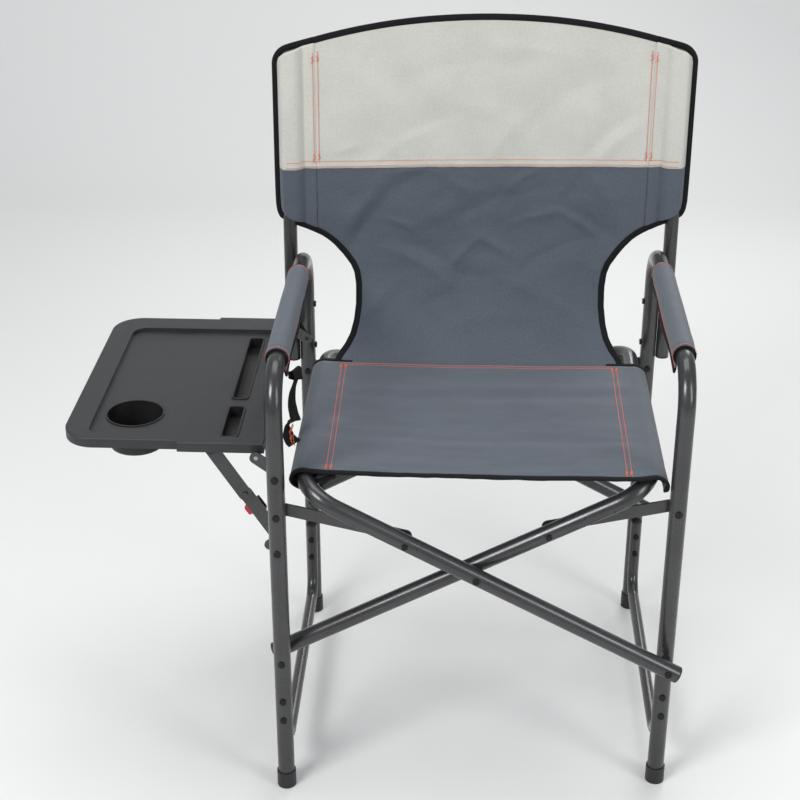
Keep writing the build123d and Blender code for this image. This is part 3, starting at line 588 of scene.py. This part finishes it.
def back_grid(z_rows, columns, edge):
    """Points of the middle panel: rows from z_rows, up to the top edge if edge is true."""
    grid = []
    for z in z_rows:
        half = min(half_width(z), SEAM_X)
        x = np.linspace(-half, half, columns)
        level = np.full(columns, z)
        if edge:
            t = (z - HEAD_BOTTOM) / (CROWN - HEAD_BOTTOM)
            level = HEAD_BOTTOM + (top_edge(x) - HEAD_BOTTOM) * t
        grid.append(np.stack([x, back_surface(x, level), level], axis=1))
    return np.array(grid)


low_rows = np.concatenate([
    np.linspace(SEAT_SEAM_Z, 700.0, 46)[:-1], np.linspace(700.0, HEAD_BOTTOM + 1.0, 44)
])
head_rows = np.linspace(HEAD_BOTTOM - 3.0, CROWN, 52)


def towards_front(grid, lift):
    """The same grid moved towards the sitter."""
    moved = grid.copy()
    moved[..., 1] -= lift
    return moved


def pocket_grid(sign, z_rows, edge, face, columns=26):
    """One layer of a post pocket: seam, round the post's front (-1) or rear (+1), outer edge."""
    grid = []
    post_y = LEG_DEPTH + (STEP if sign > 0 else 0.0)
    for z in z_rows:
        outer = max(half_width(z), SEAM_X + 1.0)
        share = np.linspace(0.0, 1.0, columns)
        x = SEAM_X - 1.0 + (outer - SEAM_X + 1.0) * share
        level = np.full(columns, z)
        if edge:
            t = (z - HEAD_BOTTOM) / (CROWN - HEAD_BOTTOM)
            level = HEAD_BOTTOM + (top_edge(x) - HEAD_BOTTOM) * t
        centre = post_y + lean_of(level)
        bulge = (POST_RADIUS + 3.2) * np.sqrt(np.clip(1.0 - ((x - POST_X) / 24.0) ** 2, 0.0, 1.0)) ** 0.9
        seam_y = back_surface(np.full(columns, sign * (SEAM_X - 1.0)), level)
        flat = seam_y + (centre - seam_y) * smoothstep(SEAM_X, POST_X, x)
        rise = smoothstep(SEAM_X - 1.0, POST_X - 12.0, x) * smoothstep(0.0, 9.0, outer - x + 1.5)
        ripple = fractal(sign * x, level, 44.0, 5.5 + face) * 1.1 * rise
        y = flat + face * (bulge * rise + 0.9) + ripple
        row = np.stack([sign * x, y, level], axis=1)
        grid.append(row if sign > 0 else row[::-1])
    return np.array(grid)


def rides_left(item):
    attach(item, "left_frame")


def rides_right(item):
    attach(item, "right_frame")


def rides_fold(item):
    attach(item, "left_frame")
    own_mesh(item)


def flat_sheet(grid):
    """Works out the distances along a sheet's rows and columns; the result is not kept."""
    uv = grid_uvs(grid)


lower_grid = back_grid(low_rows, 110, False)
head_grid = towards_front(back_grid(head_rows, 110, True), 1.6)
lower_panel = cloth_sheet("back_lower", lower_grid, slate)
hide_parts("back_lower_panel")
head_panel = cloth_sheet("back_head", head_grid, putty)
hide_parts("back_head_panel")
for item, grid, name in ((lower_panel, lower_grid, "slate_cloth"), (head_panel, head_grid, "putty_cloth")):
    rides_fold(item)
    flat_sheet(grid)

pocket_low_rows = np.concatenate([
    np.linspace(736.0, 780.0, 30)[:-1], np.linspace(780.0, HEAD_BOTTOM + 1.0, 14)
])
for side, sign, ride in (("left", -1, rides_left), ("right", 1, rides_right)):
    for face, word in ((-1, "front"), (1, "rear")):
        low = pocket_grid(sign, pocket_low_rows, False, face)
        high = towards_front(pocket_grid(sign, head_rows, True, face), 1.0 if face < 0 else 0.0)
        low_item = cloth_sheet(f"{side}_pocket_{word}_low", low, slate, 1.4)
        high_item = cloth_sheet(f"{side}_pocket_{word}_head", high, putty, 1.4)
        if face < 0:
            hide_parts(f"{side}_back_pocket")
        for item, grid, name in ((low_item, low, "slate_cloth"), (high_item, high, "putty_cloth")):
            ride(item)
            flat_sheet(grid)


# ---- black edge tape round the back; it stands out from the cloth edge and overlaps it by 0.9 mm ----
for side, sign, ride in (("left", -1, rides_left), ("right", 1, rides_right)):
    z = np.concatenate([
        np.linspace(736.0, 780.0, 40)[:-1], np.linspace(780.0, CROWN - CROWN_DROP - 14.0, 30)
    ])
    x = half_width(z)
    corner = np.linspace(0.0, 1.0, 12)
    corner_x = EDGE_X - CORNER_RADIUS * (1 - np.cos(corner * math.pi / 2))
    corner_z = top_edge(corner_x)
    inner_x = np.linspace(EDGE_X - CORNER_RADIUS, SEAM_X, 12)[1:]
    xs = np.concatenate([x, corner_x, inner_x])
    zs = np.concatenate([z, corner_z, top_edge(inner_x)])
    post_y = LEG_DEPTH + (STEP if sign > 0 else 0.0)
    seam_y = back_surface(sign * np.minimum(xs, SEAM_X), zs)
    ys = seam_y + (post_y + lean_of(zs) - seam_y) * smoothstep(SEAM_X, POST_X, xs)
    path = np.stack([sign * xs, ys, zs], axis=1)
    normals = np.tile([0.0, -1.0, 0.0], (len(path), 1))
    item = binding(f"{side}_pocket_binding", path, normals, flip=sign > 0)
    ride(item)

x = np.linspace(-SEAM_X, SEAM_X, 80)
z = top_edge(x)
path = np.stack([x, back_surface(x, z) - 1.6, z], axis=1)
item = binding("crown_binding", path, np.tile([0.0, -1.0, 0.0], (len(path), 1)), flip=False)
rides_fold(item)
for side, sign in (("left", -1), ("right", 1)):
    z = np.linspace(SEAT_SEAM_Z - 2.0, 736.0, 60)
    x = sign * half_width(z)
    path = np.stack([x, back_surface(x, z), z], axis=1)
    ahead = np.stack([x - sign * 6.0, back_surface(x - sign * 6.0, z), z], axis=1)
    inward = ahead - path
    tangent = path_frames(path)
    normals = np.cross(tangent, inward) * (-1 if sign < 0 else 1)
    normals /= np.linalg.norm(normals, axis=1, keepdims=True)
    item = binding(f"{side}_armhole_binding", path, normals, flip=sign > 0)
    rides_fold(item)


# ---- stitching on the back ----
def back_line(x, z, lift=1.0):
    x, z = np.broadcast_arrays(np.asarray(x, float), np.asarray(z, float))
    path = np.stack([x, back_surface(x, z) - lift, z], axis=1)
    return path, np.tile([0.0, -1.0, 0.0], (len(path), 1))


across = np.linspace(-SEAM_X + 2.0, SEAM_X - 2.0, 160)
HEAD_THREADS = (HEAD_BOTTOM + 9.0, HEAD_BOTTOM + 1.0)
item = stitches("head_seam_stitches", [back_line(across, level, 2.5) for level in HEAD_THREADS])
rides_fold(item)
for side, sign, ride in (("left", -1, rides_left), ("right", 1, rides_right)):
    rows = []
    for offset in (2.0, -6.0):
        line_x = SEAM_X + offset
        z = np.linspace(HEAD_BOTTOM + 9.0, top_edge(line_x) - 12.0, 60)
        path, normals = back_line(np.full(60, sign * line_x), z, 3.0)
        rows.append((path, normals))
        for end in (3, -5):
            rows.append(bartack(path[end] + np.array([0, -0.3, 0]), (0, -1, 0), (0, 0, 1)))
    x = np.linspace(SEAM_X, EDGE_X - 9.0, 24)
    for level in HEAD_THREADS:
        layer = pocket_grid(sign, [level], True, -1, 60)[0]
        order = np.argsort(np.abs(layer[:, 0]))
        y = np.interp(x, np.abs(layer[order, 0]), layer[order, 1]) - 2.2
        rows.append((np.stack([sign * x, y, np.full(24, level)], axis=1), np.tile([0.0, -1.0, 0.0], (24, 1))))
    item = stitches(f"{side}_pocket_stitches", rows)
    ride(item)

# =====================================================================
# The seat: one sheet that wraps each rail and is sewn back to itself
# =====================================================================
SEAT_FRONT = 38.0
SEAT_TOP = RAIL_HEIGHT + 12.7 + 1.6
WRAP = 14.6
SEAM_HALF = 213.0
SAG = 6.0
SEAT_THREAD_GAP = 7.0            # between the two rows of thread
RAIL_COLUMNS = 43


def seat_top(x, y):
    """Height of the seat's upper side between the rails."""
    x, y = np.asarray(x, float), np.asarray(y, float)
    depth = np.clip((y - SEAT_FRONT) / (SEAT_SEAM_Y - SEAT_FRONT), 0.0, 1.0)
    sag = SAG * np.cos(np.clip(x / RAIL_X, -1.0, 1.0) * math.pi / 2) * (0.55 + 0.45 * np.sin(math.pi * depth))
    folds = 1.4 * np.exp(-((y - 318.0 - 0.05 * x) / 16.0) ** 2) * np.cos(x / 210.0)
    folds -= 1.2 * np.exp(-((y - 292.0 - 0.03 * x) / 13.0) ** 2) * np.cos((x - 40.0) / 230.0)
    folds -= 0.9 * np.exp(-((y - 150.0 + 0.02 * x) / 10.0) ** 2)
    folds += 0.8 * np.exp(-((y - 128.0 + 0.02 * x) / 14.0) ** 2)
    rough = fractal(x, y * 2.2, 120.0, 12.3, 4) * 1.5
    inside = 1.0 - smoothstep(225.0, 250.0, np.abs(x))
    return SEAT_TOP - sag + (folds + rough) * inside


def seat_section(y):
    """(x, z) pairs across the seat at one y, from the left hem under the rail to the right hem."""
    halves = {}
    for sign in (-1, 1):
        full = 258.0 if sign < 0 or y > 96.0 else 128.0 + 22.0 * smoothstep(60.0, 96.0, y)
        angles = np.radians(np.linspace(90.0, 90.0 - full, 34))
        squeeze = 1.0 + 0.12 * math.sin(y / 37.0 + sign) * 0.35
        radius = WRAP * np.where(np.linspace(0, 1, 34) > 0.5, squeeze, 1.0)
        arc_x = RAIL_X + radius * np.cos(angles) * (1.0 + 0.33 * np.clip(np.cos(angles), 0.0, 1.0))
        arc_z = RAIL_HEIGHT + WRAP * np.sin(angles)
        if full > 200.0:
            hem_x = np.linspace(arc_x[-1], SEAM_HALF - 9.0, 10)[1:]
            hem_z = np.linspace(arc_z[-1], SEAT_TOP - SAG * 0.4 - 3.6, 10)[1:]
        else:
            back = slice(-2, -11, -1)
            hem_x = arc_x[back] - 2.0 * np.cos(angles[back])
            hem_z = arc_z[back] - 2.0 * np.sin(angles[back])
        halves[sign] = (np.concatenate([arc_x, hem_x]), np.concatenate([arc_z, hem_z]))
    middle = np.linspace(-RAIL_X, RAIL_X, 92)[1:-1]
    left_x, left_z = halves[-1]
    right_x, right_z = halves[1]
    x = np.concatenate([-left_x[::-1], middle, right_x])
    z = np.concatenate([left_z[::-1], seat_top(middle, np.full(middle.shape, y)), right_z])
    return np.stack([x, np.full(x.shape, y), z], axis=1)


seat_rows = np.concatenate([np.linspace(SEAT_FRONT, 60.0, 7)[:-1], np.linspace(60.0, SEAT_SEAM_Y + 3.0, 62)])
seat_grid = np.array([seat_section(y) for y in seat_rows])
# the front edge lies a little further back over each rail, as cut
over = smoothstep(214.0, 262.0, np.abs(seat_grid[..., 0]))
near = 1.0 - smoothstep(SEAT_FRONT, 90.0, seat_grid[..., 1])
seat_grid[..., 1] += over * near * 5.0
seat_cloth = cloth_sheet("seat_cloth", seat_grid, slate, 1.7)
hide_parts("seat_sling", "seat_sleeve_left", "seat_sleeve_right")
flat_sheet(seat_grid)


def blend_seat(item):
    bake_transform(item)


seat_parts = [seat_cloth]
seat_normals = grid_normals(seat_grid)
front_edge, front_facing = resample(seat_grid[0], seat_normals[0], 4.0)
seat_parts.append(binding("seat_front_binding", front_edge, front_facing, flip=True))
columns = seat_grid.shape[1]
rear_parts = (("left", slice(0, RAIL_COLUMNS + 8)), ("right", slice(columns - RAIL_COLUMNS - 8, columns)))
for side, part in rear_parts:
    seat_parts.append(binding(f"seat_{side}_rear_binding", seat_grid[-1, part], seat_normals[-1, part]))


def seat_line(x, y, lift=0.9):
    x, y = np.broadcast_arrays(np.asarray(x, float), np.asarray(y, float))
    path = np.stack([x, y, seat_top(x, y) + lift], axis=1)
    return path, np.tile([0.0, 0.0, 1.0], (len(path), 1))


rows = []
for sign in (-1, 1):
    for offset in (0.0, SEAT_THREAD_GAP):
        y = np.linspace(SEAT_FRONT + 4.0, SEAT_SEAM_Y - 3.0, 80)
        x = sign * (SEAM_HALF - 2.0 + offset + 4.0 * (y - SEAT_FRONT) / 364.0)
        rows.append(seat_line(x, y))
        for end in (2, -3):
            path, _ = seat_line(x, y)
            rows.append(bartack(path[end], (0, 0, 1), (0, 1, 0), 12.0, 3.0))
for offset in (0.0, SEAT_THREAD_GAP):
    x = np.linspace(-SEAM_HALF - 4.0, SEAM_HALF + 4.0, 120)
    rows.append(seat_line(x, np.full(120, SEAT_SEAM_Y - 1.0 - offset)))
seat_parts.append(stitches("seat_stitches", rows))
for item in seat_parts:
    blend_seat(item)

# =====================================================================
# Arm sleeves: padded, sewn along a flap on the inner underside
# =====================================================================
SLEEVE_FRONT = 62.0
SLEEVE_REAR = 378.0
PAD_INNER = 13.3                 # clears the arm tube
RING_RADIUS = 15.2
THREAD_RADIUS = 16.9
FLAP_TOP = 13.2                  # below the arm's axis
FLAP_DROP = 15.0
FLAP_STATIONS = 60
for side, sign, shift, ride in (("left", -1, 0.0, rides_left), ("right", 1, STEP, rides_right)):
    centre_x = sign * HALF_SPREAD
    lengths = np.linspace(SLEEVE_FRONT, SLEEVE_REAR, 72)
    around = np.radians(np.linspace(0.0, 360.0, 61))
    rings = []
    for y in lengths:
        ends = min(y - SLEEVE_FRONT, SLEEVE_REAR - y)
        radius = 15.4 + 1.5 * smoothstep(0.0, 16.0, ends)
        # the pad is fullest on top and pulls to the flap below on the inner side
        seam = np.exp(-((np.mod(around - math.radians(-52.0) + math.pi, 2 * math.pi) - math.pi) / 0.5) ** 2)
        top = 0.9 * np.clip(np.sin(around), 0.0, 1.0)
        ripple = np.array([
            noise.fractal(Vector((math.cos(a) * 0.9, math.sin(a) * 0.9, y / 46.0 + 5.0 * sign)), 0.9, 2.0, 3)
            for a in around
        ])
        r = radius + top - 1.1 * seam + 0.5 * ripple
        rings.append(np.stack([
            centre_x - sign * r * np.cos(around), np.full(61, y + shift), ARM_HEIGHT + r * np.sin(around)
        ], axis=1))
    grid = np.array(rings)
    if sign < 0:
        grid = grid[:, ::-1]
    # padded wall: the outer surface, and an inner one that clears the tube
    count = grid.shape[1]
    inner = grid.copy()
    offset = grid - np.array([centre_x, 0, ARM_HEIGHT])
    offset[..., 1] = 0.0
    unit = offset / np.linalg.norm(offset, axis=2, keepdims=True)
    inner[..., 0] = centre_x + unit[..., 0] * PAD_INNER
    inner[..., 2] = ARM_HEIGHT + unit[..., 2] * PAD_INNER
    layers = np.concatenate([grid[:, :-1], inner[:, :-1]]).reshape(-1, 3)
    ring = count - 1
    rows_count = len(lengths)
    faces = []
    base = rows_count * ring
    for r in range(rows_count - 1):
        for c in range(ring):
            a, b = r * ring + c, r * ring + (c + 1) % ring
            faces.append((a, b, b + ring, a + ring))
            faces.append((base + a + ring, base + b + ring, base + b, base + a))
    last = (rows_count - 1) * ring
    for c in range(ring):
        n = (c + 1) % ring
        faces.append((n, c, base + c, base + n))
        faces.append((last + c, last + n, base + last + n, base + last + c))
    uv = grid_uvs(grid)[:, :-1].reshape(-1, 2)
    sleeve = mesh_object(f"{side}_sleeve", layers, faces, sleeve_cloth, np.concatenate([uv, uv]))
    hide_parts(f"{side}_arm_sleeve")
    ride(sleeve)

    # binding ring round each end
    for end, row in (("front", 0), ("rear", -1)):
        y = lengths[row] + shift
        turn = np.radians(np.arange(0, 360, 8))
        path = np.stack([
            centre_x + RING_RADIUS * np.cos(turn), np.full(45, y), ARM_HEIGHT + RING_RADIUS * np.sin(turn)
        ], axis=1)
        outward = np.stack([np.cos(turn), np.zeros(45), np.sin(turn)], axis=1)
        profile = [(1.6, 0.2), (0.9, 1.2), (-0.6, 1.3), (-1.3, 0.2), (-1.0, -1.2), (1.2, -1.3)]
        ring_item = swept(f"{side}_sleeve_{end}_ring", path, outward, profile, tape, closed=True)
        ride(ring_item)
    # flap that hangs from the seam, with a bound edge
    hang = np.linspace(0.0, 1.0, 6)
    y = np.linspace(SLEEVE_FRONT + 3.0, SLEEVE_REAR - 3.0, FLAP_STATIONS)
    flap = []
    for t in hang:
        x = centre_x - sign * (9.5 + 2.5 * t + 1.2 * np.sin(y / 29.0) * t)
        z = np.full(FLAP_STATIONS, ARM_HEIGHT - FLAP_TOP - FLAP_DROP * t) + 0.8 * np.sin(y / 41.0) * t
        flap.append(np.stack([x, y + shift, z], axis=1))
    flap = np.array(flap)
    flap_item = cloth_sheet(f"{side}_sleeve_flap", flap, sleeve_cloth, 2.2)
    ride(flap_item)
    flat_sheet(flap)
    facing = grid_normals(flap)[-1]
    edge = binding(f"{side}_flap_binding", flap[-1], facing, flip=True)
    ride(edge)
    # thread: round each end and along the flap
    rows = []
    for y_ring in (SLEEVE_FRONT + 5.0, SLEEVE_REAR - 5.0):
        turn = np.radians(np.linspace(-40, 320, 120))
        path = np.stack([
            centre_x + THREAD_RADIUS * np.cos(turn), np.full(120, y_ring + shift),
            ARM_HEIGHT + THREAD_RADIUS * np.sin(turn)
        ], axis=1)
        rows.append((path, np.stack([np.cos(turn), np.zeros(120), np.sin(turn)], axis=1)))
    inner_side = np.tile([-float(sign), 0.0, 0.0], (FLAP_STATIONS, 1))
    line = flap[2].copy()
    line[:, 0] -= sign * 1.3
    rows.append((line, inner_side))
    sewn = stitches(f"{side}_sleeve_stitches", rows)
    ride(sewn)

# =====================================================================
# Hanging strap at the left side of the seat
# =====================================================================
def ribbon(name, middle, width_axis, width, thick, material):
    """Webbing along a line of middle points."""
    middle = np.asarray(middle, float)
    tangent = path_frames(middle)
    axis = np.tile(np.asarray(width_axis, float), (len(middle), 1))
    facing = np.cross(axis, tangent)
    facing /= np.linalg.norm(facing, axis=1, keepdims=True)
    half = width / 2
    profile = [
        (-half, thick / 2), (-half + 0.6, thick / 2 + 0.15),
        (half - 0.6, thick / 2 + 0.15), (half, thick / 2),
        (half, -thick / 2), (half - 0.6, -thick / 2 - 0.15),
        (-half + 0.6, -thick / 2 - 0.15), (-half, -thick / 2),
    ]
    return swept(name, middle, facing, profile, material)


def curve_points(corners, count=30):
    """A smooth curve through a few points (Catmull-Rom)."""
    points = np.asarray(corners, float)
    padded_points = np.concatenate([[2 * points[0] - points[1]], points, [2 * points[-1] - points[-2]]])
    out = []
    for value in np.linspace(0, len(points) - 1.0001, count):
        i, t = int(value), value - int(value)
        p0, p1, p2, p3 = padded_points[i:i + 4]
        out.append(0.5 * (2 * p1 + (p2 - p0) * t + (2 * p0 - 5 * p1 + 4 * p2 - p3) * t ** 2
                          + (3 * p1 - p0 - 3 * p2 + p3) * t ** 3))
    return np.array(out)


upper_tab = curve_points([
    (-272, 176, 612), (-277, 172, 596), (-278, 164, 580), (-275, 156, 566), (-271, 150, 556)
])
lower_tab = curve_points([
    (-275, 150, 560), (-281, 142, 553), (-281, 134, 543), (-277, 128, 536), (-271, 124, 532)
])
strap_item = ribbon("strap_upper", upper_tab, (0.25, 0.95, 0.1), 24.0, 1.8, strap_tape)
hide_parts("side_strap")
strap_parts = [strap_item, ribbon("strap_lower", lower_tab, (0.2, 0.95, 0.2), 26.0, 1.8, strap_tape)]
loop = curve_points([(-268, 176, 612), (-272, 184, 624), (-278, 186, 620), (-277, 178, 610)], 20)
strap_parts.append(ribbon("strap_loop", loop, (0.3, 0.9, 0.0), 22.0, 1.6, strap_tape))
for item in strap_parts:
    rides_left(item)
rows = []
for point in ((-279, 134, 545), (-277, 126, 539), (-276, 140, 551)):
    rows.append(bartack(point, (-0.5, -0.8, 0.2), (0.3, 0.2, 0.93), 13.0, 3.6))
for offset in (0.0, 3.4):
    line = curve_points([(-274 + offset, 118, 533), (-276 + offset, 120, 540), (-277 + offset, 128, 548)], 14)
    rows.append((line, np.tile([0.0, -1.0, 0.0], (14, 1))))
tack = stitches("strap_tacks", rows, width=1.5)
rides_left(tack)

# =====================================================================
# Floor, light and camera
# =====================================================================
floor_material, floor_nodes, floor_links, floor_bsdf = shader("floor", (0.78, 0.78, 0.77), 0.6, specular=0.2)
floor_mesh = bpy.data.meshes.new("floor")
DEPTH = 3.2
profile = [(-6.0, 0.0), (DEPTH - 0.8, 0.0)]
bend = np.linspace(0.1, math.pi / 2, 10)
profile += [(DEPTH - 0.8 + 0.8 * math.sin(a), 0.8 - 0.8 * math.cos(a)) for a in bend]
profile += [(DEPTH, 6.0)]
floor_points = [(x, y, z) for y, z in profile for x in (-9.0, 9.0)]
floor_faces = [(2 * i, 2 * i + 1, 2 * i + 3, 2 * i + 2) for i in range(len(profile) - 1)]
floor_mesh.from_pydata(floor_points, [], floor_faces)
floor_mesh.polygons.foreach_set("use_smooth", [True] * len(floor_mesh.polygons))
floor_mesh.materials.append(floor_material)
floor = bpy.data.objects.new("floor", floor_mesh)
bpy.context.scene.collection.objects.link(floor)

sky = bpy.data.worlds.new("studio")
sky.use_nodes = True
sky.node_tree.nodes["Background"].inputs["Color"].default_value = (0.93, 0.95, 1.0, 1.0)
sky.node_tree.nodes["Background"].inputs["Strength"].default_value = 0.46
bpy.context.scene.world = sky


def softbox(name, spot, target, width, height, power):
    light = bpy.data.lights.new(name, "AREA")
    light.shape = "RECTANGLE"
    light.size = width
    light.size_y = height
    light.energy = power
    lamp = bpy.data.objects.new(name, light)
    lamp.location = spot
    lamp.rotation_euler = (Vector(target) - Vector(spot)).to_track_quat("-Z", "Y").to_euler()
    bpy.context.scene.collection.objects.link(lamp)


softbox("key", (-1.7, -2.3, 2.6), (0.1, 0.0, 0.6), 1.3, 1.3, 74.0)
softbox("fill", (2.4, -1.9, 1.7), (0.1, 0.0, 0.5), 0.9, 1.8, 28.0)
softbox("overhead", (0.1, 0.3, 3.1), (0.1, 0.1, 0.4), 2.2, 1.4, 27.0)
softbox("rear", (0.9, 2.2, 2.0), (0.1, 0.1, 0.7), 1.4, 1.0, 22.0)

EYE = (-25.0, -1990.0, 1662.0)
YAW = math.radians(2.455)
PITCH = math.radians(26.5)
ROLL = math.radians(0.04)
FOCAL_PIXELS = 1628.0
camera_data = bpy.data.cameras.new("camera")
camera_data.sensor_width = 36.0
camera_data.lens = FOCAL_PIXELS / 800.0 * camera_data.sensor_width
camera = bpy.data.objects.new("camera", camera_data)
camera.location = place(*EYE)
look = Vector((-math.sin(YAW) * math.cos(PITCH), math.cos(YAW) * math.cos(PITCH), -math.sin(PITCH)))
turned = look.to_track_quat("-Z", "Y").to_matrix() @ Matrix.Rotation(ROLL, 3, "Z")
camera.rotation_euler = turned.to_euler()
bpy.context.scene.collection.objects.link(camera)
bpy.context.scene.camera = camera
bpy.context.scene.view_settings.view_transform = "Standard"
